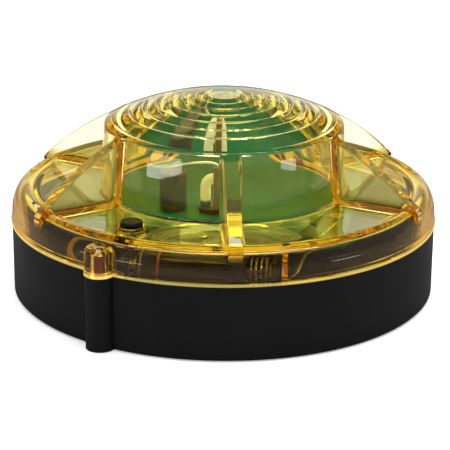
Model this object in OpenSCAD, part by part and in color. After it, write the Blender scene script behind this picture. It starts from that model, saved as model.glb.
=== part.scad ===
// Battery-powered amber strobe light: a black cup base, a one-piece clear amber lens with a
// stepped dome and six fins, a push button through the lens, and the flasher inside.
// Origin: centre of the flat underside. +Z is up, -Y is the front. Azimuths turn from -Y to +X.

/* [Base] */
// Outer radius of the round base and of the lens wall
base_r = 60; // [59:0.5:61]
// Height of the base wall, where the lens sits
base_h = 20.3; // [20:0.1:20.6]
// Thickness of the base wall and floor
wall_t = 2.4; // [2.2:0.1:2.5]
// Chamfer round the foot of the base
foot_chamfer = 0.6; // [0.2:0.1:1]

/* [Lens] */
// Height of the top of the flat ring between dome and wall
ring_z = 29.2; // [29.1:0.1:29.5]
// Height of the crest of the rounded shoulder
shoulder_z = 30.1; // [30:0.1:30.5]
// Radius of the crest of the shoulder
shoulder_r = 55.8; // [55.6:0.1:56]
// Height where the straight wall ends and the shoulder starts
shoulder_foot_z = 23; // [22.8:0.1:23.4]
// Thickness of the lens wall and of the flat ring
lens_t = 2.4; // [2.3:0.05:2.45]
// Outer radius of the dome at its root
dome_root_r = 35.4; // [35:0.1:35.6]
// Outer radius of the dome at the edge of its cap
dome_edge_r = 33.6; // [33.2:0.1:34]
// Thickness of the dome wall
dome_t = 2.2; // [2:0.1:2.3]
// Height of the top of the dome
cap_z = 55.6; // [55:0.1:56.2]
// Radius of curvature of the cap
cap_curve_r = 76.1; // [75:0.1:78]
// Number of steps on the inside of the cap
step_count = 7; // [5:1:7]
// Radius of the innermost step
step_first_r = 4.4; // [4:0.1:4.6]
// Distance between steps
step_pitch = 3.7; // [3.4:0.05:3.75]
// How far each step's tip hangs below its inner edge
step_depth = 3.6; // [2.8:0.1:3.8]
// Share of the step's width between its inner edge and its tip
step_lean = 0.42; // [0.36:0.02:0.5]

/* [Fins] */
// Number of fins round the dome
fin_count = 6; // [5:1:7]
// Thickness of a fin
fin_t = 3.9; // [3.4:0.1:4.2]
// Azimuth of the first fin
fin_turn = 3.2; // [2:0.1:4]
// Radius of curvature of the fins' top edge
fin_curve_r = 80; // [79:0.5:81]
// Height the fins' top edge would reach on the axis
fin_apex_z = 55.2; // [55:0.1:55.4]
// Radius where a fin ends
fin_end_r = 59.5; // [59:0.1:59.6]

/* [Screw lugs] */
// Radius of the half-round lugs
lug_r = 3.9; // [3.8:0.05:4.1]
// Azimuth of the front lug; the other is opposite
lug_turn = -32; // [-33:0.1:-31.5]
// Radius of the shank of the lens screws
lug_screw_r = 1.45; // [1.3:0.05:1.45]

/* [Button] */
// Diameter of the button's cap
button_d = 6.3; // [6:0.1:6.3]
// How far the cap stands above the flat ring
button_proud = 1.3; // [1.25:0.05:1.5]
// Travel of the button
button_travel = 1.2; // [0.8:0.1:1.2]
// Tangential place of the button on the battery chord
button_t = -17.5; // [-17.7:0.1:-17.4]
// Radial place of the button on the battery chord
button_rad = 41.2; // [41:0.1:41.3]

/* [Battery] */
// Diameter of the N-size cell
cell_d = 12; // [11.8:0.1:12]
// Length of the body of the cell
cell_body_l = 28.6; // [28.4:0.1:28.6]
// Length of the positive nub
nub_l = 1.6; // [1.4:0.1:1.6]
// Azimuth of the middle of the battery
chord_turn = -9.7; // [-10:0.1:-9.5]
// Distance of the cell's axis from the centre
cell_rad = 46.8; // [46.6:0.1:46.9]
// Height of the cell's axis
cell_z = 19.6; // [19.5:0.1:19.7]
// Length of the contact spring in place
spring_l = 6.2; // [6:0.1:6.2]

/* [Board] */
// Radius of the rounded rear edge of the circuit board
board_r = 52; // [48:0.5:53]
// Width of the board
board_w = 74; // [70:0.5:75]
// Distance from the centre to the straight front edge of the board
board_front = 23; // [20:0.5:24]
// Height of the board's top face
board_z = 21.2; // [21:0.1:21.3]
// Thickness of the board
board_t = 1.6; // [1.4:0.1:1.6]

/* [Hidden] */
$fn = 96;
EPS = 0.05;
lens_inner_r = base_r - lens_t;
base_inner_r = base_r - wall_t;
ring_under_z = ring_z - lens_t;
dome_root_inner_r = dome_root_r - dome_t;
dome_edge_inner_r = dome_edge_r - dome_t;
cap_centre_z = cap_z - cap_curve_r;
cap_t = 1.3;
rebate_w = 0.7;
rebate_d = 1;
lug_screw_tip_z = 25.6;
lug_screw_head_r = 2.6;
lug_screw_head_z = 3;
lug_top_z = 28.2;
lug_flange_w = 0.2;
lug_flange_h = 1.5;
lug_round = 1.5;
crest_w = 0.8;
ring_blend_w = 4;
boss_r = 3.9;
thread_clearance = 0.02;
post_bore_z = 11;
board_screw_z = 12;
board_screw_head_r = 2.4;
board_screw_head_h = 1.5;
holder_boss_r = 2.8;
holder_screw_r = 1.05;
holder_screw_z = 4.4;
holder_screw_head_r = 2.1;
holder_screw_head_z = 11.2;
holder_screw_head_h = 1.4;
slot_w = 0.7;
rib_t = 1.6;
cap_h = 2.1;
button_top_z = ring_z + button_proud;
web_z = 24.2;
stem_r = 1.3;
stem_foot_z = 23.15;
clip_t = 0.5;
clip_z = web_z - clip_t - 0.1;
clip_r = 2.2;
stem_groove_r = stem_r - 0.4;
seal_r = 0.45;
recess_z = button_top_z - cap_h - button_travel - 2 * seal_r - 2 * EPS;
edge_w = 0.4;
plunger_r = 1.25;
plunger_top_z = stem_foot_z - EPS;
plunger_foot_z = 15.8;
switch_board_z = 13;
switch_board_t = 1.2;
switch_z = switch_board_z + switch_board_t;
switch_h = 5;
switch_w = 6;
switch_post_t = [button_t - 2.6, button_t + 2.6];
switch_post_rad = 36.2;
switch_post_r = 1.8;
switch_peg_r = 0.7;
cell_start = -13.8;
cell_end = cell_start + cell_body_l;
nub_tip = cell_start - nub_l;
plate_t = 0.3;
spring_seat = cell_end + spring_l;
holder_wall_t = 1.2;
holder_z = 9;
holder_top_z = 23.6;
holder_clip_r = 56.6;
holder_screw_t = [-7, 8];
post_r = 3.2;
post_places = [[-33, 8], [33, 8], [-5, -47]];
board_screw_r = 1.2;
wire_d = 1.5;
thin_wire_d = 1;
store_turn = -99.7;
store_rad = 46;
store_z = 18.6;
store_r = 6;
store_l = 24;
saddle_t = [-8, 6];
saddle_w = 2;
tube_x = -2.8;
tube_gap = 4.6;
tube_r = 1.5;
tube_bend_h = 7.2;
electrode_h = 1.6;
socket_h = 1.4;
socket_r = 4.3;
post_x = tube_x + 1;
post_y = -2.9;
trigger_post_r = 1.1;
trigger_post_h = 12.2;
trigger_post_bore = 2;
lead_r = 0.3;
core_place = [-12, 18, 0];
coil_place = [4, 22, 0];

// ---- shared helpers ----

// Places children at an azimuth and radius, local +X along the rim, local +Y to the centre.
module at(turn, r) {
    rotate([0, 0, turn])
        translate([0, -r, 0])
            children();
}

// Turns children into the frame of the battery: local X along it, local -Y out from the centre.
module on_chord() {
    rotate([0, 0, chord_turn])
        children();
}

// Places children on the axes of the board's three posts.
module on_posts() {
    on_chord()
        for (place = post_places)
            translate([place[0], -place[1], 0])
                children();
}

// Places children on the button's axis at a height.
module on_button(z) {
    on_chord()
        translate([button_t, -button_rad, z])
            children();
}

// A round bar lying along local X between two places on a chord, at radius rad and height z.
module lying_bar(from, to, rad, z, r) {
    translate([from, -rad, z])
        rotate([0, 90, 0])
            cylinder(r = r, h = to - from);
}

// A box given by its lowest and highest corners.
module span(low, high) {
    translate(low)
        cube(high - low);
}

// A point on the smooth curve through all points p, a share u of the way from p[i] to p[i + 1].
function curve_point(p, i, u) =
    let (
        a = p[max(i - 1, 0)],
        b = p[i],
        c = p[i + 1],
        d = p[min(i + 2, len(p) - 1)]
    )
    b + (c - a) * u / 2 + (2 * a - 5 * b + 4 * c - d) * u * u / 2
        + (3 * b - a - 3 * c + d) * u * u * u / 2;

function curve_path(p, n) = concat(
    [for (i = [0 : len(p) - 2], s = [0 : n - 1]) curve_point(p, i, s / n)],
    [p[len(p) - 1]]
);

function unit(v) = v / norm(v);

// Joins rings of points, all with the same number of sides, into one closed solid.
module skin(rings) {
    sides = len(rings[0]);
    last = len(rings) - 1;
    polyhedron(
        [for (ring = rings) each ring],
        concat(
            [[for (j = [sides - 1 : -1 : 0]) j]],
            [for (i = [0 : last - 1], j = [0 : sides - 1])
                let (k = (j + 1) % sides)
                    [i * sides + j, i * sides + k, (i + 1) * sides + k, (i + 1) * sides + j]],
            [[for (j = [0 : sides - 1]) last * sides + j]]
        )
    );
}

// A wire of radius r that runs smoothly through the points; ref is a direction it never takes.
module wire(points, r, ref = [0, 0, 1]) {
    path = curve_path(points, 4);
    last = len(path) - 1;
    skin([
        for (i = [0 : last])
            let (
                along = unit(path[min(i + 1, last)] - path[max(i - 1, 0)]),
                side = unit(cross(ref, along)),
                lift = cross(along, side)
            )
            [for (j = [0 : 7]) path[i] + r * (cos(45 * j) * lift + sin(45 * j) * side)]
    ]);
}

// A place given by azimuth, radius and height.
function polar(turn, r, z) = [r * sin(turn), -r * cos(turn), z];

// A place on the front battery chord, given along it, out from the centre, and up.
function chord(t, rad, z) = [
    t * cos(chord_turn) + rad * sin(chord_turn),
    t * sin(chord_turn) - rad * cos(chord_turn),
    z
];

// ---- housing ----

module lug_column(h) {
    for (half = [0, 180])
        at(lug_turn + half, base_r)
            cylinder(r = lug_r, h = h);
}

// The cup with its lugs; the walls run past the rim and are cut off level.
module cup() {
    difference() {
        union() {
            cylinder(r1 = base_r - foot_chamfer, r2 = base_r, h = foot_chamfer);
            translate([0, 0, foot_chamfer])
                cylinder(r = base_r, h = base_h);
            lug_column(base_h + foot_chamfer);
        }
        difference() {
            translate([0, 0, wall_t])
                cylinder(r = base_inner_r, h = base_h);
            lug_column(base_h + wall_t);
        }
        translate([0, 0, base_h])
            cylinder(r = base_r + 2 * lug_r, h = base_h);
    }
}

module base_shell() {
    color([0.13, 0.13, 0.13])
    difference() {
        union() {
            cup();
            board_posts();
            holder_bosses();
            switch_posts();
            store_saddles();
        }
        gasket_ring(base_h - rebate_d, 2 * rebate_d);
        for (half = [0, 180])
            at(lug_turn + half, base_r) {
                translate([0, 0, -EPS])
                    cylinder(r = lug_screw_head_r + 0.2, h = lug_screw_head_z + EPS);
                cylinder(r = lug_screw_r + 0.1, h = 2 * base_h);
            }
        on_posts()
            translate([0, 0, post_bore_z])
                cylinder(r = board_screw_r + thread_clearance, h = base_h);
        on_chord()
            for (t = holder_screw_t)
                translate([t, -cell_rad, wall_t + 1])
                    cylinder(r = holder_screw_r + thread_clearance, h = base_h);
    }
}

module board_posts() {
    on_posts()
        cylinder(r = post_r, h = board_z - board_t);
}

module holder_bosses() {
    on_chord()
        for (t = holder_screw_t)
            translate([t, -cell_rad, 0])
                cylinder(r = holder_boss_r, h = holder_z);
}

module switch_posts() {
    on_chord()
        for (t = switch_post_t)
            translate([t, -switch_post_rad, 0]) {
                cylinder(r = switch_post_r, h = switch_board_z);
                cylinder(r = switch_peg_r, h = switch_z + 0.6);
            }
}

module store_saddles() {
    rotate([0, 0, store_turn])
        for (t = saddle_t)
            difference() {
                span(
                    [t, 1 - store_rad - store_r, 0],
                    [t + saddle_w, store_r - 1 - store_rad, store_z - 2]
                );
                lying_bar(t - 1, t + saddle_w + 1, store_rad, store_z, store_r + EPS);
            }
}

// The rebate for the seal along the inner edge of the rim.
module gasket_ring(z, h) {
    translate([0, 0, z])
        difference() {
            cylinder(r = base_inner_r + rebate_w, h = h);
            translate([0, 0, -EPS])
                cylinder(r = base_inner_r, h = h + 2 * EPS);
        }
}

module lens_gasket() {
    color([0.2, 0.2, 0.2])
        gasket_ring(base_h - rebate_d, rebate_d);
}

function ellipse_arc(r_c, z_c, a, b, from, to, n) =
    [for (i = [0 : n]) let (w = from + (to - from) * i / n) [r_c + a * cos(w), z_c + b * sin(w)]];

function cap_height(r, t) = cap_centre_z + sqrt(pow(cap_curve_r - t, 2) - r * r);

function step_r(k) = step_first_r + step_pitch * k;

// Outer radius of a step; the last one reaches the dome's wall.
function step_end(k) = k == step_count - 1 ? dome_edge_inner_r : step_r(k + 1);

// The upper inner corner and the tip of a step.
function tooth(k) = [
    [step_r(k), cap_height(step_r(k), cap_t)],
    [step_r(k) + step_lean * (step_end(k) - step_r(k)), cap_height(step_r(k), cap_t) - step_depth]
];

// Outside of the lens from the rim, over the shoulder, along the flat ring and up the dome.
function lens_outside() = concat(
    [[base_r, base_h]],
    ellipse_arc(
        shoulder_r, shoulder_foot_z,
        base_r - shoulder_r, shoulder_z - shoulder_foot_z, 0, 90, 12
    ),
    [[shoulder_r - crest_w, ring_z], [dome_root_r, ring_z]],
    [for (i = [0 : 16]) let (r = dome_edge_r * (1 - i / 16)) [r, cap_height(r, 0)]]
);

// Inside of the lens from the middle of the cap outwards, one tooth for each step.
function lens_inside() = concat(
    [[0, cap_height(0, cap_t)]],
    [for (k = [0 : step_count - 1]) each tooth(k)],
    [[dome_edge_inner_r, cap_height(dome_edge_inner_r, cap_t)], [dome_root_inner_r, ring_under_z]],
    [[shoulder_r - ring_blend_w, ring_under_z]],
    ellipse_arc(
        shoulder_r, shoulder_foot_z,
        base_r - shoulder_r - lens_t, shoulder_z - lens_t - shoulder_foot_z, 90, 0, 12
    ),
    [[lens_inner_r, base_h]]
);

// Outline of a fin in radius and height; its foot and inner edge are sunk into the lens.
function fin_outline() = concat(
    [[dome_root_r - 1, ring_z - 1], [shoulder_r + 1, ring_z - 1], [fin_end_r, shoulder_foot_z + 2.5]],
    [for (i = [0 : 10]) let (r = fin_end_r + (dome_edge_r - 1 - fin_end_r) * i / 10)
        [r, fin_apex_z - fin_curve_r + sqrt(fin_curve_r * fin_curve_r - r * r)]]
);

module lens() {
    color([0.92, 0.75, 0.1, 0.5])
    difference() {
        union() {
            rotate_extrude($fn = 128)
                polygon(concat(lens_outside(), lens_inside()));
            for (i = [0 : fin_count - 1])
                rotate([0, 0, fin_turn + 360 * i / fin_count - 90])
                    rotate([90, 0, 0])
                        linear_extrude(height = fin_t, center = true)
                            polygon(fin_outline());
            lens_lugs();
            partition_rib();
            on_button(web_z)
                cylinder(r = boss_r, h = ring_z - 1 - web_z);
        }
        on_button(recess_z)
            cylinder(d = button_d + 3 * EPS, h = ring_z);
        on_button(0)
            cylinder(r = stem_r + EPS, h = ring_z);
        for (half = [0, 180])
            at(lug_turn + half, base_r)
                cylinder(r = lug_screw_r + EPS, h = lug_screw_tip_z + 0.6);
    }
}

module lens_lugs() {
    for (half = [0, 180])
        at(lug_turn + half, base_r)
            translate([0, 0, base_h]) {
                cylinder(r = lug_r + lug_flange_w, h = lug_flange_h);
                cylinder(r = lug_r, h = lug_top_z - lug_round - base_h);
                translate([0, 0, lug_top_z - lug_round - base_h])
                    cylinder(r1 = lug_r, r2 = lug_r - lug_round, h = lug_round);
            }
}

// A straight rib that hangs from the flat ring beside the battery.
module partition_rib() {
    translate(polar(17, 54, 0))
        rotate([0, 0, 65.5])
            translate([0, -rib_t / 2, 0])
                rotate([90, 0, 0])
                    mirror([0, 0, 1])
                        linear_extrude(height = rib_t)
                            polygon([
                                [0, 19], [8, 19], [14, 22.4], [37, 22.4],
                                [37, ring_under_z + 0.5], [0, ring_under_z + 0.5]
                            ]);
}

module lens_screws() {
    color("silver")
    for (half = [0, 180])
        at(lug_turn + half, base_r)
            difference() {
                union() {
                    translate([0, 0, 0.8])
                        cylinder(r = lug_screw_head_r, h = lug_screw_head_z - 0.8);
                    translate([0, 0, lug_screw_head_z])
                        cylinder(r = lug_screw_r, h = lug_screw_tip_z - lug_screw_head_z);
                }
                cross_slot(0.8 - EPS, 1.2, 3.4);
            }
}

// The two crossed slots of a screw head.
module cross_slot(z, depth, width) {
    for (turn = [0, 90])
        rotate([0, 0, turn])
            span([-width / 2, -slot_w / 2, z], [width / 2, slot_w / 2, z + depth]);
}

// ---- circuit board and what it carries ----

module circuit_board() {
    color([0.1, 0.45, 0.25])
    translate([0, 0, board_z - board_t])
        difference() {
            intersection() {
                cylinder(r = board_r, h = board_t);
                on_chord()
                    span([-board_w / 2, -board_front, 0], [board_w / 2, board_r, board_t]);
            }
            on_posts()
                translate([0, 0, -EPS])
                    cylinder(r = board_screw_r + 0.3, h = board_t + 2 * EPS);
        }
}

// Places children upside down under the board.
module under_board() {
    translate([0, 0, board_z - board_t])
        mirror([0, 0, 1])
            children();
}

module board_screws() {
    color("silver")
    on_posts()
        difference() {
            union() {
                translate([0, 0, board_screw_z])
                    cylinder(r = board_screw_r, h = board_z - board_screw_z);
                translate([0, 0, board_z])
                    cylinder(r = board_screw_head_r, h = board_screw_head_h);
            }
            cross_slot(board_z + board_screw_head_h / 2, board_screw_head_h, 3);
        }
}

// A bent glass tube: two legs and a half-round bend.
module flash_tube() {
    leg_z = board_z + socket_h + electrode_h;
    bend_z = board_z + tube_bend_h;
    color([0.95, 0.95, 0.85])
    translate([tube_x, 0, 0]) {
        for (side = [-1, 1])
            translate([side * tube_gap / 2, 0, leg_z])
                cylinder(r = tube_r, h = bend_z - leg_z);
        translate([0, 0, bend_z])
            rotate([90, 0, 0])
                rotate_extrude(angle = 180)
                    translate([tube_gap / 2, 0])
                        circle(r = tube_r, $fn = 32);
    }
}

// Metal end caps that close the glass at the foot of each leg.
module tube_electrodes() {
    color("silver")
    for (side = [-1, 1])
        translate([tube_x + side * tube_gap / 2, 0, board_z + socket_h])
            cylinder(r = tube_r, h = electrode_h);
}

module tube_socket() {
    color([0.4, 0.27, 0.1])
    translate([tube_x, 0, board_z])
        cylinder(r = socket_r, h = socket_h);
}

// Insulating post in front of the tube that carries the trigger wire to its top.
module trigger_post() {
    color([0.45, 0.3, 0.1])
    translate([post_x, post_y, board_z + socket_h])
        difference() {
            cylinder(r = trigger_post_r, h = trigger_post_h);
            translate([0, 0, trigger_post_h - trigger_post_bore])
                cylinder(r = 0.5, h = trigger_post_bore + EPS);
        }
}

module trigger_lead() {
    top = board_z + socket_h + trigger_post_h;
    color("silver")
        wire([
            [post_x, post_y, top - 1.4], [post_x, post_y, top - 0.4], [post_x - 0.1, post_y, top + 0.8],
            [tube_x - 3, -1, top + 0.6], [-12, 5, top - 1.8], [-16, 9, top - 5.2], [-16.5, 10, board_z]
        ], 0.4, [0.6, 1, 0]);
}

module trigger_coil() {
    color([0.55, 0.3, 0.1])
    under_board()
        translate(coil_place) {
            cylinder(r = 2, h = 8);
            cylinder(r = 3.4, h = 1);
            translate([0, 0, 1.6])
                cylinder(r = 3, h = 4.8);
            translate([0, 0, 7])
                cylinder(r = 3.4, h = 1);
        }
}

module transformer_core() {
    color([0.25, 0.25, 0.27])
    under_board()
        translate(core_place)
            difference() {
                span([-7, -3, 0], [7, 3, 10]);
                for (side = [-1, 1])
                    span([side * 3.5 - 1.6, -3.1, 2], [side * 3.5 + 1.6, 3.1, 8]);
            }
}

module transformer_winding() {
    color([0.9, 0.75, 0.1])
    under_board()
        translate(core_place + [0, 0, 2.3])
            difference() {
                span([-4.8, -5.4, 0], [4.8, 5.4, 5.4]);
                span([-1.95, -3.1, -EPS], [1.95, 3.1, 5.5]);
            }
}

module upright_capacitor() {
    color([0.45, 0.35, 0.2])
    translate([-14.5, 2, board_z])
        cylinder(r = 4, h = 11);
}

// The large flash capacitor, lying in the left quarter of the base.
module storage_capacitor() {
    color([0.15, 0.17, 0.16])
    rotate([0, 0, store_turn])
        lying_bar(-store_l / 2, store_l / 2, store_rad, store_z, store_r);
}

module film_capacitors() {
    color([0.6, 0.25, 0.1])
    under_board()
        for (place = [[-22, 2], [17, 14]])
            translate([place[0], place[1], 0]) {
                span([-3.6, -1.6, 0.5], [3.6, 1.6, 7.5]);
                for (side = [-1, 1])
                    translate([side * 2.5, 0, 0])
                        cylinder(r = lead_r, h = 0.6);
            }
}

module power_transistor() {
    color([0.15, 0.15, 0.15])
    under_board()
        translate([14, 24, 0]) {
            intersection() {
                translate([0, 0, 2])
                    cylinder(r = 2.4, h = 5);
                span([-3, -1.2, 1], [3, 3, 8]);
            }
            for (x = [-1.3, 0, 1.3])
                translate([x, 0, 0])
                    cylinder(r = lead_r, h = 2.1);
        }
}

module resistors() {
    color([0.8, 0.7, 0.5])
    under_board()
        for (place = [[-4, 8], [-4, 4], [22, 7], [22, 3]])
            translate([place[0], place[1], 0])
                axial_body(3, 1.1);
}

module diodes() {
    color([0.2, 0.2, 0.2])
    under_board()
        for (place = [[-8, -8], [8, 8], [-4, 29]])
            translate([place[0], place[1], 0])
                axial_body(2.4, 1.2);
}

// A small round component lying on the board, with its two bent leads.
module axial_body(half_l, r) {
    reach = half_l + 1.2;
    translate([0, 0, r])
        rotate([0, 90, 0]) {
            translate([0, 0, -half_l])
                cylinder(r = r, h = 2 * half_l);
            translate([0, 0, -reach])
                cylinder(r = lead_r, h = 2 * reach);
        }
    for (side = [-1, 1])
        translate([side * reach, 0, 0])
            cylinder(r = lead_r, h = r + lead_r);
}

// ---- batteries ----

module battery_cell() {
    color([0.12, 0.12, 0.13])
    on_chord() {
        lying_bar(cell_start, cell_end, cell_rad, cell_z, cell_d / 2);
        lying_bar(nub_tip, cell_start, cell_rad, cell_z, 2);
    }
}

module cell_holder() {
    color([0.1, 0.1, 0.1])
    on_chord()
        difference() {
            union() {
                span([cell_start + 0.4, -50, holder_z], [spring_seat + plate_t, -43.6, 14.4]);
                span([nub_tip - plate_t - holder_wall_t, -50, holder_z], [cell_start + 0.4, -44.5, 12]);
                span(
                    [nub_tip - plate_t - holder_wall_t, -50, holder_z],
                    [nub_tip - plate_t, -44.5, holder_top_z]
                );
                intersection() {
                    span(
                        [spring_seat + plate_t, -52.5, holder_z],
                        [spring_seat + plate_t + holder_wall_t, -41.5, holder_top_z + 1.4]
                    );
                    cylinder(r = holder_clip_r, h = base_h + 10);
                }
            }
            lying_bar(cell_start, spring_seat + plate_t, cell_rad, cell_z, cell_d / 2 + 0.1);
            for (t = holder_screw_t)
                translate([t, -cell_rad, 0]) {
                    cylinder(r = holder_screw_r + 0.2, h = holder_screw_head_z + 1);
                    translate([0, 0, holder_screw_head_z])
                        cylinder(r = holder_screw_head_r + 0.2, h = 4);
                }
        }
}

module holder_screws() {
    color("silver")
    on_chord()
        for (t = holder_screw_t)
            translate([t, -cell_rad, 0])
                difference() {
                    union() {
                        translate([0, 0, holder_screw_z])
                            cylinder(r = holder_screw_r, h = holder_screw_head_z - holder_screw_z);
                        translate([0, 0, holder_screw_head_z])
                            cylinder(r = holder_screw_head_r, h = holder_screw_head_h);
                    }
                    cross_slot(holder_screw_head_z + 0.8, 1, 2.4);
                }
}

// A coil along local X from 0 to length, swept as a round wire of radius wire_r.
module coil(length, coil_r, wire_r, turns) {
    steps = 20 * turns;
    skin([
        for (i = [0 : steps])
            [for (j = [0 : 7])
                let (w = 18 * i, u = 45 * j, r = coil_r + wire_r * cos(u))
                    [wire_r + (length - 2 * wire_r) * i / steps + wire_r * sin(u), r * cos(w), r * sin(w)]]
    ]);
}

module spring_contact() {
    color("silver")
    on_chord()
        translate([cell_end + EPS, -cell_rad, cell_z])
            coil(spring_l - 2 * EPS, 4.3, 0.4, 4);
}

module plate_contacts() {
    color("silver")
    on_chord() {
        span([nub_tip - plate_t, -51, cell_z - 3], [nub_tip, -44.7, cell_z + 3]);
        span([spring_seat, -50.5, cell_z - 4.5], [spring_seat + plate_t, -40.2, cell_z + 4.5]);
    }
}

// ---- wires ----

module positive_lead() {
    color([0.95, 0.75, 0.05])
        wire([
            chord(-17.3, 51.3, 19), polar(-33.5, 53.4, 19.2), polar(-37.5, 53.8, 19.1),
            polar(-42, 53.8, 18.9), polar(-46.5, 53.6, 19.2), polar(-50.4, 52.6, 20.4),
            polar(-51.6, 50.4, 22), polar(-51, 47.6, 22.9), polar(-47.5, 43, 22),
            chord(-23.1, 38, 18), chord(-23, 38, 15), chord(-23, 38, 14.22)
        ], wire_d / 2, [0.2, 0.95, -0.2]);
}

module negative_lead() {
    color([0.95, 0.75, 0.05])
        wire([
            chord(22.2, 39.4, 15.6), chord(22, 34, 12), chord(18, 26, 12), chord(14, 18, 15.5),
            chord(13.6, 17, 19.6)
        ], wire_d / 2, chord(1, 0, 0));
}

module capacitor_leads() {
    color([0.7, 0.15, 0.1])
    rotate([0, 0, store_turn]) {
        wire([
            [12.2, -48.5, store_z], [16.5, -48, 20], [17, -40, 22.8], [13.5, -31, 21.8]
        ], thin_wire_d / 2);
        wire([
            [12.2, -43.5, store_z], [14.3, -42.5, 19.6], [14.3, -38, 22.4], [11, -30, 21.8]
        ], thin_wire_d / 2);
    }
}

// ---- button and switch ----

module push_button() {
    color([0.05, 0.05, 0.05])
    difference() {
        union() {
            on_button(button_top_z - edge_w)
                cylinder(d1 = button_d, d2 = button_d - 2 * edge_w, h = edge_w);
            on_button(button_top_z - cap_h)
                cylinder(d = button_d, h = cap_h - edge_w);
            on_button(stem_foot_z)
                cylinder(r = stem_r, h = button_top_z - cap_h - stem_foot_z);
        }
        on_button(clip_z)
            difference() {
                cylinder(r = stem_r + 1, h = clip_t);
                cylinder(r = stem_groove_r, h = clip_t);
            }
    }
}

module button_clip() {
    color("silver")
    on_button(clip_z)
        difference() {
            cylinder(r = clip_r, h = clip_t);
            translate([0, 0, -EPS])
                cylinder(r = stem_groove_r, h = clip_t + 2 * EPS);
            span([-clip_r - 1, -0.6, -EPS], [0, 0.6, clip_t + EPS]);
        }
}

module button_seal() {
    color([0.1, 0.1, 0.1])
    on_button(recess_z + seal_r)
        rotate_extrude()
            translate([stem_r + seal_r + EPS, 0])
                circle(r = seal_r, $fn = 32);
}

module switch_board() {
    color([0.1, 0.45, 0.25])
    on_chord()
        difference() {
            span([button_t - 7, -44.2, switch_board_z], [button_t + 3.6, -34.5, switch_z]);
            for (t = switch_post_t)
                translate([t, -switch_post_rad, switch_board_z - 1])
                    cylinder(r = switch_peg_r + EPS, h = switch_board_t + 2);
        }
}

module switch_body() {
    color([0.2, 0.2, 0.22])
    on_button(switch_z)
        difference() {
            span([-switch_w / 2, -switch_w / 2, 0], [switch_w / 2, switch_w / 2, switch_h]);
            translate([0, 0, 0.3])
                cylinder(r = plunger_r + EPS, h = switch_h);
        }
}

module switch_plunger() {
    color([0.85, 0.2, 0.15])
    on_button(plunger_foot_z)
        cylinder(r = plunger_r, h = plunger_top_z - plunger_foot_z);
}

module switch_leads() {
    color([0.75, 0.1, 0.1])
    for (side = [-1, 1])
        wire([
            chord(button_t + side * 1.2, 35, switch_z + 0.5), chord(button_t + side * 1.2, 31, 14.6),
            chord(button_t + side * 1.2, 19.5, 15.5), chord(button_t + side * 1.2, 18, 19.6)
        ], thin_wire_d / 2, chord(1, 0, 0));
}

base_shell();
lens();
lens_gasket();
lens_screws();
circuit_board();
board_screws();
flash_tube();
tube_electrodes();
tube_socket();
trigger_post();
trigger_lead();
trigger_coil();
transformer_core();
transformer_winding();
upright_capacitor();
storage_capacitor();
film_capacitors();
power_transistor();
resistors();
diodes();
battery_cell();
cell_holder();
holder_screws();
spring_contact();
plate_contacts();
positive_lead();
negative_lead();
capacitor_leads();
push_button();
button_clip();
button_seal();
switch_board();
switch_body();
switch_plunger();
switch_leads();
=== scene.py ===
"""Looks of a battery-powered amber strobe light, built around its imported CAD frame.

Lengths are millimetres until a mesh is made; meshes, lights and the camera are in metres.
Azimuths turn from the front (-Y) towards +X, as in the CAD source.
"""

import math

import bmesh
import bpy
from mathutils import Matrix, Vector


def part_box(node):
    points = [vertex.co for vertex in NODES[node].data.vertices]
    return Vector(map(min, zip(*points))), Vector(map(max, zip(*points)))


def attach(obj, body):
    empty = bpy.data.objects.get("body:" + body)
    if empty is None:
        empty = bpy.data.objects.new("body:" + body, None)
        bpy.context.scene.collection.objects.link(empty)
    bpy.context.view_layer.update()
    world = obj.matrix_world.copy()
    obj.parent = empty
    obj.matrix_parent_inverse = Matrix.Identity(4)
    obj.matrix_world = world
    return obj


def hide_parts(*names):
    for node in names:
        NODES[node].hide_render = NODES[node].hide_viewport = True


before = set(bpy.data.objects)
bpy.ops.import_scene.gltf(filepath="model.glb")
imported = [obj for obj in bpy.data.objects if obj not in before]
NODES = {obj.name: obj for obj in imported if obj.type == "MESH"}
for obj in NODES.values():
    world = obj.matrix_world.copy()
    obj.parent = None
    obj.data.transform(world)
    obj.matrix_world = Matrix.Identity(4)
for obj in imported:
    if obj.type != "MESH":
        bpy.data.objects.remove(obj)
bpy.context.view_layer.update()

MM = 0.001


def box_mm(node):
    """A CAD node's box in millimetres."""
    low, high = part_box(node)
    return low / MM, high / MM


# ---- driving sizes, read from the frame where it holds them ----

BASE_HIGH = box_mm("base_shell")[1]
LENS_HIGH = box_mm("lens")[1]
BUTTON_HIGH = box_mm("push_button")[1]

RIM_R = BASE_HIGH.x
RIM_Z = BASE_HIGH.z
APEX_Z = LENS_HIGH.z
BUTTON_PROUD = 1.3
WALL_T = 2.4
RING_Z = BUTTON_HIGH.z - BUTTON_PROUD
RING_UNDER_Z = RING_Z - WALL_T
LENS_GAP = 0.03

SHOULDER_R = RIM_R - 4.2
SHOULDER_Z = RING_Z + 0.9
SHOULDER_FOOT_Z = RIM_Z + 2.7

DOME_ROOT_R = 35.4
DOME_EDGE_R = 33.6
DOME_T = 2.2
CAP_CURVE_R = 76.1
CAP_T = 1.3
STEP_FIRST_R = 4.4
STEP_PITCH = 3.7
STEP_COUNT = 7
LENS_IOR = 1.5
LOOK_DOWN = 18.8
LAMP_Z = 27.0
MAX_FACET = 68.0
MIN_RISER = 25.0
VALLEY = 0.3

FIN_COUNT = 6
FIN_TURN = 3.2
FIN_T = 3.9
FIN_CURVE_R = 80.0
FIN_APEX_Z = 55.2
FIN_END_R = RIM_R - 0.5

LUG_R = 3.9
LUG_TURN = -32.0
LUG_TOP_Z = RING_Z - 1.0

CHORD_TURN = -9.7
BUTTON_T = -17.5
BUTTON_RAD = 41.2
BUTTON_R = 3.15
BOSS_R = 3.9
STEM_BORE_R = 1.36

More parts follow.
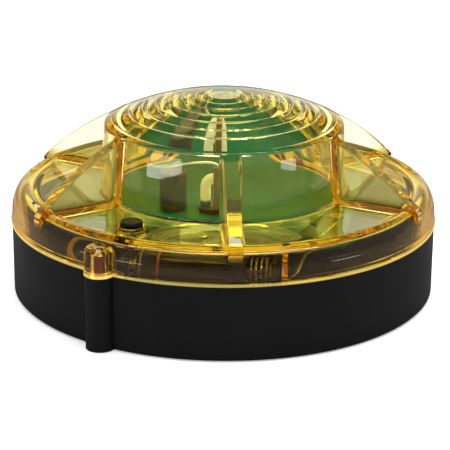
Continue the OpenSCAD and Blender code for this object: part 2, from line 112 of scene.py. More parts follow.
RIB_T = 1.6
RIB_L = 37.0
RIB_TURN = 17.0
RIB_RAD = 54.0
RIB_AIM = 65.5

CELL_RAD = 46.8
CELL_Z = 19.6
CELL_START = -13.8
CELL_L = 28.6
CELL_R = 6.0

LATHE_STEPS = 288


# ---- geometry helpers ----


def spin(turn):
    """Rotation about +Z by an azimuth in degrees."""
    return Matrix.Rotation(math.radians(turn), 4, "Z")


def shift(x, y, z):
    return Matrix.Translation((x, y, z))


def at(turn, r, z=0.0):
    """Local frame at an azimuth and radius: +X along the rim, +Y to the centre."""
    return spin(turn) @ shift(0, -r, z)


def on_chord(t, rad, z=0.0):
    """Local frame on the battery's chord: t along it, rad out from the centre."""
    return spin(CHORD_TURN) @ shift(t, -rad, z)


def arc(centre_r, centre_z, radius_r, radius_z, start, end, steps):
    """Points of an elliptical arc in the (r, z) plane, angles in degrees."""
    points = []
    for i in range(steps + 1):
        w = math.radians(start + (end - start) * i / steps)
        points.append((centre_r + radius_r * math.cos(w), centre_z + radius_z * math.sin(w)))
    return points


def solid(name, verts, faces, matrix=Matrix.Identity(4)):
    """A closed mesh object from points in millimetres, with its faces turned outwards."""
    mesh = bpy.data.meshes.new(name)
    mesh.from_pydata([matrix @ Vector(v) * MM for v in verts], [], faces)
    shape = bmesh.new()
    shape.from_mesh(mesh)
    bmesh.ops.remove_doubles(shape, verts=shape.verts, dist=1e-7)
    bmesh.ops.recalc_face_normals(shape, faces=shape.faces)
    shape.to_mesh(mesh)
    shape.free()
    piece = bpy.data.objects.new(name, mesh)
    bpy.context.scene.collection.objects.link(piece)
    return piece


def lathe(name, profile, steps=96, matrix=Matrix.Identity(4)):
    """A solid of revolution about +Z; its profile is a closed loop or starts and ends on the axis."""
    verts, rows = [], []
    for r, z in profile:
        if r < 1e-6:
            rows.append([len(verts)] * steps)
            verts.append((0, 0, z))
        else:
            rows.append(list(range(len(verts), len(verts) + steps)))
            for i in range(steps):
                w = 2 * math.pi * i / steps
                verts.append((r * math.cos(w), r * math.sin(w), z))
    faces = []
    for low, high in zip(rows, rows[1:]):
        for i in range(steps):
            j = (i + 1) % steps
            corners = [low[i], low[j], high[j], high[i]]
            faces.append(list(dict.fromkeys(corners)))
    return solid(name, verts, faces, matrix)


def loft(name, rings, matrix=Matrix.Identity(4)):
    """A solid through rings of points that all have the same count, closed by its two end faces."""
    count = len(rings[0])
    verts = [point for ring in rings for point in ring]
    faces = [list(range(count)), [len(verts) - count + i for i in range(count)]]
    for row in range(len(rings) - 1):
        for i in range(count):
            j = (i + 1) % count
            a, b = row * count, (row + 1) * count
            faces.append([a + i, a + j, b + j, b + i])
    return solid(name, verts, faces, matrix)


def combine(piece, others, operation):
    """Applies one boolean operation of the others to a piece, and deletes the others."""
    for other in others:
        modifier = piece.modifiers.new("combine", "BOOLEAN")
        modifier.operation = operation
        modifier.solver = "MANIFOLD"
        modifier.object = other
    graph = bpy.context.evaluated_depsgraph_get()
    mesh = bpy.data.meshes.new_from_object(piece.evaluated_get(graph))
    piece.modifiers.clear()
    piece.data = mesh
    for other in others:
        bpy.data.objects.remove(other)


def smooth(piece, angle=35.0):
    """Smooth shading that keeps edges sharper than the angle."""
    for face in piece.data.polygons:
        face.use_smooth = True
    piece.data.set_sharp_from_angle(angle=math.radians(angle))
    return piece


def finish_piece(piece, material, body, node):
    """Paints a new piece, puts it on its body and lets it stand for a CAD node."""
    piece.data.materials.clear()
    piece.data.materials.append(material)
    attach(piece, body)
    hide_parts(node)


# ---- the lens ----


def dome_wall_r(z):
    """Outer radius of the dome's wall at a height."""
    edge_z = cap_z(DOME_EDGE_R, 0)
    share = (z - RING_Z) / (edge_z - RING_Z)
    return DOME_ROOT_R + (DOME_EDGE_R - DOME_ROOT_R) * share


def cap_z(r, depth):
    """Height of the cap's surface at a radius, a given depth under its outside."""
    return APEX_Z - CAP_CURVE_R + math.sqrt((CAP_CURVE_R - depth) ** 2 - r * r)


def outside_profile():
    """From the apex over the cap, down the dome, along the ring, over the shoulder to the rim."""
    root_fillet = 1.3
    inner_crest = 0.8
    crest_run = 2.2
    edge = 0.7
    steps = 44
    points = [(0, APEX_Z)]
    for i in range(1, steps + 1):
        r = (DOME_EDGE_R - edge) * i / steps
        points.append((r, cap_z(r, 0)))
    corner = (DOME_EDGE_R, cap_z(DOME_EDGE_R, 0))
    start = points[-1]
    end = (dome_wall_r(corner[1] - edge), corner[1] - edge)
    for u in (0.2, 0.4, 0.6, 0.8, 1.0):
        points.append(tuple(
            (1 - u) ** 2 * start[k] + 2 * u * (1 - u) * corner[k] + u * u * end[k] for k in (0, 1)))
    low_z = RING_Z + root_fillet
    for i in range(1, 9):
        z = end[1] + (low_z - end[1]) * i / 8
        points.append((dome_wall_r(z), z))
    points += arc(dome_wall_r(low_z) + root_fillet, low_z, root_fillet, root_fillet, 180, 270, 8)[1:]
    for i in range(1, 7):
        r = points[-1][0]
        points.append((r + (SHOULDER_R - crest_run - r) / (7 - i), RING_Z))
    points += arc(SHOULDER_R - crest_run, RING_Z + inner_crest,
                  inner_crest, inner_crest, 270, 335, 5)[1:]
    points += arc(SHOULDER_R, SHOULDER_FOOT_Z, RIM_R - SHOULDER_R,
                  SHOULDER_Z - SHOULDER_FOOT_Z, 108, 0, 36)
    points += [(RIM_R, RIM_Z + 1.4)]
    points += arc(RIM_R - 0.1, RIM_Z + 0.6, 0.45, 0.5, 60, -60, 8)
    points += [(RIM_R - 0.2, RIM_Z + LENS_GAP)]
    return points


def tooth(inner, outer):
    """Tip of the prism between two radii: its inner face bends a level look down to the lamp,
    and its outer face runs along the light from the lamp, so that it stays out of the way."""
    r = 0.5 * (inner + outer)
    tilt = math.asin(r / CAP_CURVE_R)
    look = math.radians(90 - LOOK_DOWN) - tilt
    inside = tilt + math.asin(math.sin(look) / LENS_IOR)
    fall = math.atan(r / (cap_z(r, CAP_T) - LAMP_Z))
    low, high = 0.0, math.radians(60)
    for _ in range(30):
        x = 0.5 * (low + high)
        if LENS_IOR * math.sin(x) < math.sin(x + inside - fall):
            low = x
        else:
            high = x
    slope = math.tan(min(inside + low, math.radians(MAX_FACET)))
    rise = 1 / math.tan(max(fall, math.radians(MIN_RISER)))
    drop = cap_z(inner, CAP_T) - cap_z(outer, CAP_T)
    run = (drop + (outer - inner) * rise) / (slope + rise)
    return inner + run, cap_z(inner, CAP_T) - run * slope


def inside_profile():
    """From the rim up the inside of the wall, under the ring, up the dome and over the steps."""
    ledge_r = RIM_R - 3.2
    blend_run = 4.0
    root_fillet = 0.8
    points = [(ledge_r, RIM_Z + LENS_GAP), (ledge_r, RIM_Z + 0.9), (RIM_R - WALL_T, RIM_Z + 1.5)]
    crest_z = SHOULDER_Z - WALL_T
    points += arc(SHOULDER_R, SHOULDER_FOOT_Z, RIM_R - SHOULDER_R - WALL_T,
                  crest_z - SHOULDER_FOOT_Z, 0, 90, 30)
    for i in range(1, 13):
        u = i / 12
        blend = u * u * (3 - 2 * u)
        points.append((SHOULDER_R - blend_run * u, crest_z + (RING_UNDER_Z - crest_z) * blend))
    root_r = DOME_ROOT_R - DOME_T
    for i in range(1, 7):
        r = points[-1][0]
        points.append((r + (root_r + root_fillet - r) / (7 - i), RING_UNDER_Z))
    points += arc(root_r + root_fillet, RING_UNDER_Z + root_fillet,
                  root_fillet, root_fillet, 270, 180, 6)[1:]
    top_r = DOME_EDGE_R - DOME_T
    edges = [STEP_FIRST_R + STEP_PITCH * k for k in range(STEP_COUNT)] + [top_r]
    top_z = cap_z(top_r, CAP_T)
    for i in range(1, 9):
        u = i / 8
        z = RING_UNDER_Z + root_fillet + (top_z - RING_UNDER_Z - root_fillet) * u
        points.append((root_r + (top_r - root_r) * u, z))
    for inner, outer in reversed(list(zip(edges, edges[1:]))):
        tip_r, tip_z = tooth(inner, outer)
        points += [(tip_r + VALLEY, tip_z + 0.05), (tip_r, tip_z)]
        points.append((inner + 0.02, cap_z(inner, CAP_T)))
        points.append((inner - VALLEY, cap_z(inner - VALLEY, CAP_T)))
    points.append((0, cap_z(0, CAP_T)))
    return points


def fin():
    """One fin along +X: a plate with a rounded top edge, flared at its foot and at the dome."""
    foot_flare, dome_flare, edge, nose = 1.5, 1.6, 0.45, 1.6
    sink = 1.0
    lower = [0, sink, sink + 0.1, sink + 0.3, sink + 0.6, sink + 1.0, sink + 1.5, sink + 2.4]
    upper = [edge * k for k in (2.2, 1.0, 0.62, 0.3, 0.08, 0.0)]

    def flare(distance, radius):
        if distance >= radius:
            return 0.0
        short = max(distance, 0.0)
        return 0.85 * (radius - math.sqrt(radius * radius - (radius - short) ** 2))

    def top_z(r):
        z = FIN_APEX_Z - FIN_CURVE_R + math.sqrt(FIN_CURVE_R ** 2 - r * r)
        left = FIN_END_R - r
        if left < nose:
            z -= nose - math.sqrt(max(nose * nose - (nose - left) ** 2, 0.0))
        return z

    def foot_z(r):
        return RING_Z - sink - max(r - SHOULDER_R - 0.7, 0.0) * 0.9

    def section(distance):
        """Half a cross-section at a distance out from the dome's wall: (r, half width, z) upwards."""
        r_mid = min(DOME_ROOT_R - 0.9 + distance, FIN_END_R)
        low, high = foot_z(r_mid), top_z(r_mid)
        need = lower[-1] + upper[0] + 0.5
        scale = min((high - low) / need, 1.0)
        heights = [low + d * scale for d in lower]
        gap_low, gap_high = heights[-1], high - upper[0] * scale
        heights += [gap_low + (gap_high - gap_low) * k / 4 for k in (1, 2, 3)]
        heights += [high - d * scale for d in upper]
        half = []
        for z in heights:
            wall = dome_wall_r(min(z, cap_z(DOME_EDGE_R, 0)))
            r = min(wall + distance, FIN_END_R - 1e-3 * (distance < 0))
            w = FIN_T / 2 + flare(z - RING_Z, foot_flare) * (r < SHOULDER_R - 1.5)
            w += flare(distance, dome_flare)
            under = high - z
            if under < edge:
                w -= edge - math.sqrt(max(edge * edge - (edge - under) ** 2, 0.0))
            left = FIN_END_R - r
            if left < edge:
                w -= edge - math.sqrt(max(edge * edge - (edge - left) ** 2, 0.0))
            half.append((r, max(w, 0.3), z))
        return half

    length = FIN_END_R - DOME_ROOT_R + 0.9
    stations = [-sink, 0.05, 0.15, 0.35, 0.65, 1.0, 1.6]
    stations += [1.6 + (length - 1.6 - nose) * k / 26 for k in range(1, 27)]
    stations += [length - nose * k for k in (0.8, 0.6, 0.42, 0.28, 0.16, 0.08, 0.02, 0.0)]
    rings = []
    for distance in stations:
        half = section(distance)
        ring = [(r, w, z) for r, w, z in half]
        ring += [(r, -w, z) for r, w, z in reversed(half)]
        rings.append(ring)
    return rings


def lens_body():
    """The one-piece moulding: shell, fins, lugs, rib and button boss, less its bores."""
    body = lathe("clear_lens", outside_profile() + inside_profile(), LATHE_STEPS)
    added = []
    rings = fin()
    for i in range(FIN_COUNT):
        added.append(loft("fin", rings, spin(FIN_TURN - 90 + 360 * i / FIN_COUNT)))
    for half in (0, 180):
        added.append(lug(at(LUG_TURN + half, RIM_R)))
    added.append(rib())
    boss_foot = RING_Z - 5.0
    boss = [(0, boss_foot), (BOSS_R - 0.2, boss_foot), (BOSS_R, boss_foot + 0.2),
            (BOSS_R, RING_Z - 1.2), (0, RING_Z - 1.2)]
    added.append(lathe("boss", boss, 64, on_chord(BUTTON_T, BUTTON_RAD)))
    combine(body, added, "UNION")
    cuts = []
    recess = BUTTON_R + 0.08
    bore = [(0, RING_Z - 8), (STEM_BORE_R, RING_Z - 8), (STEM_BORE_R, RING_Z - 3.0),
            (recess, RING_Z - 3.0), (recess, RING_Z - 0.2), (recess + 0.2, RING_Z),
            (recess + 0.3, RING_Z + 4), (0, RING_Z + 4)]
    cuts.append(lathe("bore", bore, 64, on_chord(BUTTON_T, BUTTON_RAD)))
    for half in (0, 180):
        hole = [(0, RIM_Z - 3), (1.5, RIM_Z - 3), (1.5, RIM_Z + 5.6), (0, RIM_Z + 6.4)]
        cuts.append(lathe("hole", hole, 48, at(LUG_TURN + half, RIM_R)))
    combine(body, cuts, "DIFFERENCE")
    return smooth(body, 32)


def lug(matrix):
    """A half-round screw lug with a flange round its foot and a rounded top."""
    foot = RIM_Z + LENS_GAP
    flange_z = RIM_Z + 1.5
    profile = [(0, foot), (LUG_R + 0.1, foot), (LUG_R + 0.2, foot + 0.1), (LUG_R + 0.2, flange_z - 0.1),
               (LUG_R + 0.1, flange_z), (LUG_R, flange_z + 0.12)]
    profile += arc(LUG_R - 1.8, LUG_TOP_Z - 1.8, 1.8, 1.8, 0, 90, 8)
    profile += [(0, LUG_TOP_Z)]
    return lathe("lug", profile, 96, matrix)


def rib():
    """The straight partition that hangs from the ring beside the battery cell."""
    top = RING_UNDER_Z + 0.6
    outline = [(0, 19.2), (8, 19.2), (14, 22.4), (RIB_L, 22.4), (RIB_L, top), (0, top)]
    rings = [[(x, side * RIB_T / 2, z) for x, z in outline] for side in (-1, 1)]
    return loft("rib", rings, at(RIB_TURN, RIB_RAD) @ spin(RIB_AIM - RIB_TURN))


# ---- the lamp, the capacitor and the battery cell ----


def tube(name, path, radius, sides=24):
    """A round bar along a path in millimetres that lies in a plane of constant y, with domed ends."""
    rings = []
    last = len(path) - 1
    for i, place in enumerate(path):
        along = (Vector(path[min(i + 1, last)]) - Vector(path[max(i - 1, 0)])).normalized()
        side = Vector((0, 1, 0))
        up = along.cross(side)
        shrink = (0.35, 0.8)[min(i, last - i)] if min(i, last - i) < 2 else 1.0
        rings.append([Vector(place) + radius * shrink * (math.cos(w) * side + math.sin(w) * up)
                      for w in (2 * math.pi * k / sides for k in range(sides))])
    return loft(name, rings)


def flash_lamp():
    """The bent glass tube of the lamp."""
    low, high = box_mm("flash_tube")
    centre, radius = 0.5 * (low + high), 1.5
    half = 0.5 * (high.x - low.x) - radius
    bend_z = high.z - radius - half
    straight = low.z + 0.4
    heights = [low.z, low.z + 0.15, straight]
    heights += [straight + (bend_z - straight) * k / 4 for k in (1, 2, 3)]
    leg = [(centre.x - half, centre.y, z) for z in heights]
    path = list(leg)
    bend_steps = 24
    for i in range(bend_steps + 1):
        w = math.pi * (1 - i / bend_steps)
        path.append((centre.x + half * math.cos(w), centre.y, bend_z + half * math.sin(w)))
    path += [(2 * centre.x - x, y, z) for x, y, z in reversed(leg)]
    return smooth(tube("flash_lamp", path, radius), 60)


def capacitor_pieces():
    """The upright capacitor: a shrunk sleeve round an aluminium can with a scored top."""
    low, high = box_mm("upright_capacitor")
    centre = 0.5 * (low + high)
    place = shift(centre.x, centre.y, low.z)
    radius, height = 0.5 * (high.x - low.x), high.z - low.z
    groove = 0.25
    profile = [(0, 0), (radius - 0.5, 0)] + arc(radius - 0.4, 0.4, 0.4, 0.4, -60, 0, 4)
    profile += [(radius, 1.1), (radius - groove, 1.5), (radius - groove, 1.7), (radius, 2.1)]
    profile += arc(radius - 0.6, height - 0.6, 0.6, 0.6, 0, 90, 6)
    profile += [(radius - 0.9, height), (radius - 0.9, height - 0.12), (0, height - 0.12)]
    sleeve = smooth(lathe("capacitor_sleeve", profile, 64, place))
    top = [(0, height - 0.12), (radius - 0.9, height - 0.12),
           (radius - 0.95, height - 0.03), (0, height + 0.02)]
    lid = lathe("capacitor_top", top, 64, place)
    scores = []
    for turn in (0, 90):
        score = [(x, y, z) for z in (height - 0.05, height + 0.2) for x, y in
                 ((-2.2, -0.12), (2.2, -0.12), (2.2, 0.12), (-2.2, 0.12))]
        faces = [[0, 1, 2, 3], [4, 5, 6, 7], [0, 1, 5, 4], [1, 2, 6, 5], [2, 3, 7, 6], [3, 0, 4, 7]]
        scores.append(solid("score", score, faces, place @ spin(turn)))
    combine(lid, scores, "DIFFERENCE")
    return sleeve, smooth(lid)


def cell_pieces():
    """The battery cell: a printed jacket with turned-in ends, and the steel positive end."""
    length, radius = CELL_L, CELL_R
    lie = on_chord(CELL_START + length, CELL_RAD, CELL_Z) @ Matrix.Rotation(math.radians(-90), 4, "Y")
    jacket = [(0, 0.1), (5.0, 0.1), (5.1, 0)] + arc(radius - 0.35, 0.35, 0.35, 0.35, -80, 0, 6)
    jacket += arc(radius - 0.35, length - 0.35, 0.35, 0.35, 0, 80, 6)
    jacket += [(5.1, length), (5.0, length - 0.1), (0, length - 0.1)]
    end = [(0, length - 0.1), (5.0, length - 0.1), (4.9, length + 0.12), (4.5, length + 0.15),
           (4.3, length - 0.02), (2.3, length - 0.02), (2.0, length + 0.2)]
    end += arc(1.7, length + 1.3, 0.3, 0.3, 0, 90, 4) + [(0, length + 1.6)]
    return smooth(lathe("cell_jacket", jacket, 96, lie)), smooth(lathe("cell_end", end, 72, lie))


# ---- materials ----


class Paint:
    """A material's node tree, with short calls for the nodes that the finishes share."""

    def __init__(self, name, colour, roughness, metallic=0.0):
        self.material = bpy.data.materials.new(name)
        self.material.use_nodes = True
        self.tree = self.material.node_tree
        self.shader = self.tree.nodes["Principled BSDF"]
        self.output = self.tree.nodes["Material Output"]
        self.place = self.add("ShaderNodeTexCoord").outputs["Object"]
        self.set("Base Color", (*colour, 1.0))
        self.set("Roughness", roughness)
        self.set("Metallic", metallic)

    def add(self, kind):
        return self.tree.nodes.new(kind)

    def link(self, source, target):
        self.tree.links.new(source, target)

    def set(self, name, value):
        self.shader.inputs[name].default_value = value

    def noise(self, scale, detail=3.0, stretch=(1, 1, 1)):
        """Noise with about scale blobs per metre, as a value from 0 to 1."""
        mapping = self.add("ShaderNodeMapping")
        mapping.inputs["Scale"].default_value = stretch
        self.link(self.place, mapping.inputs["Vector"])
        node = self.add("ShaderNodeTexNoise")
        node.inputs["Scale"].default_value = scale
        node.inputs["Detail"].default_value = detail
        self.link(mapping.outputs["Vector"], node.inputs["Vector"])
        return node.outputs["Fac"]

    def ramp(self, value, stops):
        """A colour or grey ramp; stops are (place, grey or colour)."""
        node = self.add("ShaderNodeValToRGB")
        elements = node.color_ramp.elements
        while len(elements) < len(stops):
            elements.new(0.5)
        for element, (place, tone) in zip(elements, stops):
            element.position = place
            rgb = (tone, tone, tone) if isinstance(tone, (int, float)) else tone
            element.color = (*rgb, 1.0)
        self.link(value, node.inputs["Fac"])
        return node.outputs["Color"]

    def parts(self, vector):
        """The three coordinates of a vector."""
        node = self.add("ShaderNodeSeparateXYZ")
        self.link(vector, node.inputs[0])
        return list(node.outputs)

    def math(self, operation, a, b=None):
        """One operation on one or two numbers or sockets."""
        node = self.add("ShaderNodeMath")
        node.operation = operation
        for source, target in zip((a, b), node.inputs):
            if isinstance(source, (int, float)):
                target.default_value = source
            elif source is not None:
                self.link(source, target)
        return node.outputs[0]

    def spread(self, value, low, high, at_low=0.0, at_high=1.0):
        """A smooth step of a value between two places."""
        node = self.add("ShaderNodeMapRange")
        node.interpolation_type = "SMOOTHSTEP"
        ends = {"From Min": low, "From Max": high, "To Min": at_low, "To Max": at_high}
        for name, number in ends.items():
            node.inputs[name].default_value = number
        self.link(value, node.inputs["Value"])
        return node.outputs["Result"]

    def mix(self, share, a, b):
        """A colour between two colours, each given as numbers or as a socket."""
        node = self.add("ShaderNodeMix")
        node.data_type = "RGBA"
        self.link(share, node.inputs["Factor"])
        for source, target in ((a, node.inputs[6]), (b, node.inputs[7])):
            if isinstance(source, tuple):
                target.default_value = (*source, 1.0)
            else:
                self.link(source, target)
        return node.outputs[2]

    def vary(self, name, value, low, high):
        """Drives a shader input between two greys or colours with a value from 0 to 1."""
        self.link(self.ramp(value, [(0.25, low), (0.75, high)]), self.shader.inputs[name])

    def bump(self, height, depth, strength=1.0):
        """Bump of a real depth in millimetres."""
        node = self.add("ShaderNodeBump")
        node.inputs["Strength"].default_value = strength
        node.inputs["Distance"].default_value = depth * MM
        self.link(height, node.inputs["Height"])
        self.link(node.outputs["Normal"], self.shader.inputs["Normal"])


def clear_amber():
    """Clear amber plastic, palest in the thin fins and the cap, deepest round the shoulder and rim.

    A faint emission in the foot paints a highlight line along the rim, and one in the fins paints light
    that lifts their faces.
    """
    body, rim = (0.88, 0.85, 0.37), (0.47, 0.31, 0.12)
    cap, pale = (0.97, 0.98, 0.82), (0.77, 0.82, 0.88)
    paint = Paint("amber_polycarbonate", body, 0.0)
    paint.set("Transmission Weight", 1.0)
    paint.set("IOR", LENS_IOR)
    x, y, z = paint.parts(paint.place)
    square = paint.math("ADD", paint.math("MULTIPLY", x, x), paint.math("MULTIPLY", y, y))
    reach = paint.math("SQRT", square)
    outer = paint.spread(reach, (RIM_R - 7) * MM, (RIM_R - 1) * MM)
    above = paint.spread(z, (RING_Z + 1) * MM, (RING_Z + 4) * MM)
    beyond = paint.spread(reach, DOME_ROOT_R * MM, (DOME_ROOT_R + 1) * MM)
    tone = paint.mix(outer, body, rim)
    tone = paint.mix(paint.spread(z, (APEX_Z - 13.6) * MM, (APEX_Z - 8.6) * MM), tone, cap)
    fins = paint.math("MULTIPLY", above, beyond)
    tone = paint.mix(fins, tone, pale)
    paint.link(tone, paint.shader.inputs["Base Color"])
    # Painted highlight: the foot emits a thin bright line along the rim, and the fins emit a little
    # painted light on their faces.
    foot = paint.math("MULTIPLY", paint.spread(z, (RIM_Z + 1.1) * MM, (RIM_Z + 0.8) * MM),
                      paint.spread(reach, (RIM_R - 1.2) * MM, (RIM_R - 0.8) * MM))
    painted_light = paint.math("ADD", paint.math("MULTIPLY", foot, 0.7), paint.math("MULTIPLY", fins, 0.15))
    paint.link(painted_light, paint.shader.inputs["Emission Strength"])
    paint.set("Emission Color", (0.62, 0.52, 0.15, 1.0))
    flow = paint.noise(160, 2.0)
    paint.vary("Roughness", paint.noise(900, 2.0), 0.0, 0.03)
    paint.bump(flow, 0.012, 0.6)
    dye = paint.add("ShaderNodeVolumeAbsorption")
    dye.inputs["Color"].default_value = (0.95, 0.83, 0.06, 1.0)
    dye.inputs["Density"].default_value = 100.0
    paint.link(dye.outputs["Volume"], paint.output.inputs["Volume"])
    return paint.material


def moulded(name, colour, roughness=0.42, specular=0.3, grain=2600, depth=0.02):
    """Moulded plastic with a fine spark texture."""
    paint = Paint(name, colour, roughness)
    paint.set("Specular IOR Level", specular)
    texture = paint.noise(grain, 4.0)
    cloud = paint.noise(60, 3.0)
    paint.vary("Roughness", cloud, roughness - 0.05, roughness + 0.07)
    paint.vary("Base Color", cloud, tuple(c * 0.85 for c in colour), tuple(c * 1.15 for c in colour))
    paint.bump(texture, depth)
    return paint.material


def metal(name, colour, roughness=0.25):
    """Metal with a grain drawn out along one axis."""
    paint = Paint(name, colour, roughness, 1.0)
    drawn = paint.noise(700, 4.0, (1, 1, 12))
    paint.vary("Roughness", drawn, roughness - 0.08, roughness + 0.12)
    paint.vary("Base Color", paint.noise(300, 3.0), tuple(c * 0.8 for c in colour), colour)
    paint.bump(drawn, 0.01)
    return paint.material


def sheathing(name, colour, roughness=0.35):
    """Soft wire insulation or a shrunk sleeve."""
    paint = Paint(name, colour, roughness)
    wave = paint.noise(500, 2.0)
    paint.vary("Base Color", wave, tuple(c * 0.86 for c in colour), colour)
    paint.vary("Roughness", wave, roughness - 0.05, roughness + 0.1)
    paint.bump(wave, 0.03)
    return paint.material


def jacket_paint():
    """Dark foil jacket with an orange ring near the positive end and a thin pale one beyond it."""
    dark = (0.012, 0.012, 0.014)
    paint = Paint("cell_jacket", dark, 0.12)
    turn = math.radians(CHORD_TURN)
    dot = paint.add("ShaderNodeVectorMath")
    dot.operation = "DOT_PRODUCT"
    paint.link(paint.place, dot.inputs[0])
    dot.inputs[1].default_value = (math.cos(turn), math.sin(turn), 0)
    tone = dark
    for place, width, colour in ((-8.0, 0.35, (0.7, 0.25, 0.03)), (-12.6, 0.2, (0.6, 0.55, 0.3))):
        away = paint.math("ABSOLUTE", paint.math("SUBTRACT", dot.outputs["Value"], place * MM))
        tone = paint.mix(paint.spread(away, width * MM * 1.2, width * MM * 0.8), tone, colour)
    paint.link(tone, paint.shader.inputs["Base Color"])
    paint.vary("Roughness", paint.noise(300, 3.0), 0.08, 0.2)
    paint.bump(paint.noise(900, 2.0), 0.008)
    return paint.material


def solder_mask():
    """Green solder mask over the board's weave."""
    paint = Paint("solder_mask", (0.012, 0.22, 0.12), 0.4)
    paint.set("Specular IOR Level", 0.15)
    weave = paint.noise(1400, 2.0)
    paint.vary("Base Color", paint.noise(90, 3.0), (0.008, 0.18, 0.105), (0.016, 0.26, 0.14))
    paint.bump(weave, 0.015)
    return paint.material


def frosted_glass():
    """The lamp's glass, with a faint painted emission that stands in for light falling on it, so that
    it shows pale through the lens.
    """
    paint = Paint("tube_glass", (0.95, 0.95, 0.86), 0.25)
    paint.set("Subsurface Weight", 0.3)
    paint.set("Subsurface Radius", (0.001, 0.001, 0.001))
    # Painted light: the unlit lamp's glass emits a little so that it reads pale.
    paint.set("Emission Color", (0.9, 0.85, 0.6, 1.0))
    paint.set("Emission Strength", 0.45)
    paint.vary("Roughness", paint.noise(800, 2.0), 0.18, 0.34)
    return paint.material


def paper():
    """White paper, lighter to the camera so that the shadow stays soft, and darker in mirrored rays."""
    paint = Paint("paper", (0.92, 0.92, 0.91), 0.9)
    rays = paint.add("ShaderNodeLightPath").outputs
    white = paint.ramp(paint.noise(6, 3.0), [(0.25, 0.9), (0.75, 0.94)])
    bounced = paint.math("SUBTRACT", rays["Is Glossy Ray"], rays["Is Transmission Ray"])
    bounced.node.use_clamp = True
    paint.link(paint.mix(bounced, white, (0.2, 0.2, 0.2)), paint.shader.inputs["Base Color"])
    paint.set("Emission Color", (1.0, 1.0, 1.0, 1.0))
    lift = paint.math("MULTIPLY", rays["Is Camera Ray"], 0.35)
    paint.link(lift, paint.shader.inputs["Emission Strength"])
    return paint.material


# ---- the studio ----


def world_light():
    """A bright sweep ahead and overhead, a dim room on the camera's side; darker in mirrored rays."""
    world = bpy.data.worlds.new("studio")
    world.use_nodes = True
    tree = world.node_tree
    background = tree.nodes["Background"]
    coordinates = tree.nodes.new("ShaderNodeTexCoord")
    rays = tree.nodes.new("ShaderNodeLightPath").outputs

    def part(source, axis):
        node = tree.nodes.new("ShaderNodeSeparateXYZ")
        tree.links.new(source, node.inputs[0])
        return node.outputs[axis]

    def spread(value, low, high, at_low, at_high):
        node = tree.nodes.new("ShaderNodeMapRange")
        node.interpolation_type = "SMOOTHSTEP"
        ends = {"From Min": low, "From Max": high, "To Min": at_low, "To Max": at_high}
        for name, number in ends.items():
            node.inputs[name].default_value = number
        tree.links.new(value, node.inputs["Value"])
        return node.outputs["Result"]

    def math_node(operation, *sources):
        node = tree.nodes.new("ShaderNodeMath")
        node.operation = operation
        for source, target in zip(sources, node.inputs):
            tree.links.new(source, target)
        return node.outputs[0]

    mirrored = math_node("SUBTRACT", rays["Is Glossy Ray"], rays["Is Transmission Ray"])
    mirrored.node.use_clamp = True
    ahead = part(coordinates.outputs["Camera"], "Z")
    up = part(coordinates.outputs["Generated"], "Z")
    sideways = math_node("ABSOLUTE", part(coordinates.outputs["Camera"], "X"))
    band = spread(ahead, 0.3, 0.65, 0.14, 1.7)
    through = math_node("ADD", band, spread(ahead, 0.84, 0.97, 0.0, -0.8))
    through = math_node("ADD", through, spread(up, 0.4, 0.85, 0.0, 0.45))
    through = math_node("ADD", through, spread(sideways, 0.3, 0.7, 0.0, 0.6))
    off = math_node("ADD", spread(ahead, 0.72, 0.96, 0.07, 0.9), spread(sideways, 0.4, 0.9, 0.0, 0.25))
    blend = tree.nodes.new("ShaderNodeMix")
    for source, target in zip((mirrored, through, off), (0, 2, 3)):
        tree.links.new(source, blend.inputs[target])
    tree.links.new(blend.outputs[0], background.inputs["Strength"])
    background.inputs["Color"].default_value = (1.0, 1.0, 1.0, 1.0)
    bpy.context.scene.world = world


def softbox(name, place, target, size, power, mirrored=True, roll=0.0):
    """A rectangular light aimed at a target and rolled about its aim, in metres, watts and degrees."""
    data = bpy.data.lights.new(name, "AREA")
    data.shape = "RECTANGLE"
    data.size, data.size_y = size
    data.energy = power
    lamp = bpy.data.objects.new(name, data)
    lamp.location = place
    lamp.rotation_mode = "QUATERNION"
    aim = (Vector(target) - Vector(place)).to_track_quat("-Z", "Y")
    lamp.rotation_quaternion = aim @ Matrix.Rotation(math.radians(roll), 3, "Z").to_quaternion()
    lamp.visible_glossy = mirrored
    bpy.context.scene.collection.objects.link(lamp)


def sweep():
    """The pale floor."""
    half, steps = 1.6, 16
    verts, faces = [], []
    for j in range(steps + 1):
        for i in range(steps + 1):
            verts.append((half * (2 * i / steps - 1), half * (2 * j / steps - 1), 0))
    for j in range(steps):
        for i in range(steps):
            a = j * (steps + 1) + i
            faces.append([a, a + 1, a + steps + 2, a + steps + 1])
    mesh = bpy.data.meshes.new("floor")
    mesh.from_pydata(verts, [], faces)
    floor = bpy.data.objects.new("floor", mesh)
    floor.location.z = -0.0002
    mesh.materials.append(paper())
    bpy.context.scene.collection.objects.link(floor)


def camera():
    """The camera, placed in multiples of the rim's radius."""
    tilt, roll, distance = math.radians(18.83), math.radians(0.48), 8.057
    data = bpy.data.cameras.new("camera")
    data.lens = 134.65
    data.sensor_width = 36.0
    eye = bpy.data.objects.new("camera", data)
    radius = RIM_R * MM
    target = Vector((0.0083, 0, 0.278)) * radius
    place = target + Vector((0, -math.cos(tilt), math.sin(tilt))) * distance * radius
    eye.location = place
    eye.rotation_mode = "QUATERNION"
    look = (target - place).to_track_quat("-Z", "Y")
    eye.rotation_quaternion = look @ Matrix.Rotation(roll, 3, "Z").to_quaternion()
    bpy.context.scene.collection.objects.link(eye)
    bpy.context.scene.camera = eye


def render_settings():
    """Bounces enough for light to pass through every wall of the lens."""
    scene = bpy.context.scene
    scene.view_settings.view_transform = "Standard"
    scene.cycles.max_bounces = 28
    scene.cycles.transmission_bounces = 28
    scene.cycles.glossy_bounces = 16
    scene.cycles.transparent_max_bounces = 16
    scene.cycles.sample_clamp_indirect = 6.0
    scene.cycles.use_denoising = True


# ---- carried-over CAD nodes ----


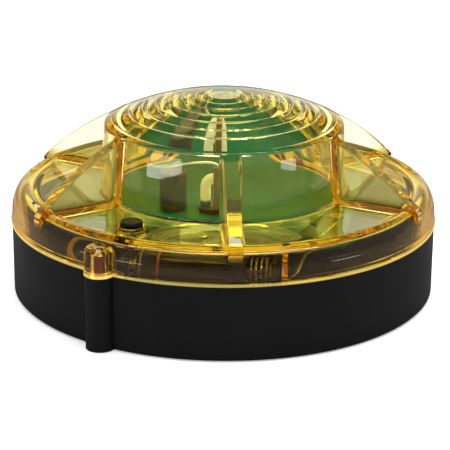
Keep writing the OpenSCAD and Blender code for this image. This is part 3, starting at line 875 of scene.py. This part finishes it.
def dress(nodes, material):
    """Paints carried-over CAD nodes, whatever material slots they came with."""
    for name in nodes:
        data = NODES[name].data
        if not data.materials:
            data.materials.append(material)
        for i in range(len(data.materials)):
            data.materials[i] = material


def dress_nodes():
    dress(["base_shell"], moulded("black_shell", (0.0065, 0.0065, 0.007), 0.45, 0.2))
    dress(["lens_gasket", "button_seal"], sheathing("seal_rubber", (0.02, 0.02, 0.02), 0.6))
    dress(["lens_screws"], metal("screw_brass", (0.5, 0.22, 0.04), 0.4))
    dress(["board_screws", "holder_screws", "button_clip"], metal("screw_steel", (0.62, 0.6, 0.55)))
    dress(["circuit_board", "switch_board"], solder_mask())
    contacts = ["tube_electrodes", "spring_contact", "plate_contacts"]
    dress(contacts, metal("contact_metal", (0.4, 0.39, 0.37)))
    dress(["trigger_lead"], metal("tinned_wire", (0.95, 0.95, 0.93), 0.35))
    dress(["tube_socket"], moulded("brown_insulator", (0.16, 0.075, 0.02), 0.35, 0.5, 1500, 0.02))
    dress(["trigger_post"], moulded("amber_insulator", (0.5, 0.3, 0.09), 0.3, 0.5, 1500, 0.02))
    dress(["trigger_coil", "transformer_winding"], sheathing("coil_varnish", (0.35, 0.2, 0.03), 0.3))
    dress(["transformer_core"], moulded("ferrite", (0.03, 0.03, 0.033), 0.5, 0.4, 1200, 0.03))
    dress(["storage_capacitor"], sheathing("dark_sleeve", (0.02, 0.025, 0.022), 0.25))
    dress(["film_capacitors"], moulded("film_dip", (0.3, 0.07, 0.015), 0.25, 0.5, 600, 0.03))
    dress(["power_transistor", "diodes", "switch_body"], moulded("black_component", (0.02, 0.02, 0.02)))
    dress(["resistors"], sheathing("resistor_body", (0.5, 0.36, 0.18), 0.3))
    dress(["cell_holder"], moulded("holder_plastic", (0.015, 0.015, 0.015)))
    dress(["positive_lead", "negative_lead"], sheathing("yellow_wire", (0.85, 0.5, 0.01)))
    dress(["capacitor_leads", "switch_leads"], sheathing("red_wire", (0.5, 0.02, 0.01)))
    dress(["push_button"], moulded("button_black", (0.005, 0.005, 0.005), 0.4, 0.15))
    dress(["switch_plunger"], moulded("plunger_red", (0.5, 0.03, 0.02)))


# ---- the scene ----

render_settings()
world_light()
sweep()
camera()
softbox("top_light", (0.1, 0.1, 0.9), (0, 0, 0), (0.9, 0.7), 5.5, mirrored=False)
softbox("strip_light", (0.0, -0.2, 0.6), (0, 0, 0), (0.9, 0.04), 1.2)
softbox("left_light", (-0.182, -0.139, 0.016), (0, 0, 0.04), (0.14, 0.005), 0.014, roll=4.0)
softbox("right_light", (0.192, -0.122, 0.0185), (0, 0, 0.045), (0.06, 0.005), 0.005, roll=-4.0)
dress_nodes()
finish_piece(lens_body(), clear_amber(), "lens", "lens")
finish_piece(flash_lamp(), frosted_glass(), "base", "flash_tube")
sleeve, lid = capacitor_pieces()
brown = sheathing("capacitor_brown", (0.13, 0.11, 0.055), 0.3)
aluminium = metal("can_aluminium", (0.22, 0.2, 0.16), 0.45)
finish_piece(sleeve, brown, "base", "upright_capacitor")
finish_piece(lid, aluminium, "base", "upright_capacitor")
jacket, end = cell_pieces()
finish_piece(jacket, jacket_paint(), "base", "battery_cell")
finish_piece(end, metal("cell_steel", (0.8, 0.76, 0.62), 0.25), "base", "battery_cell")
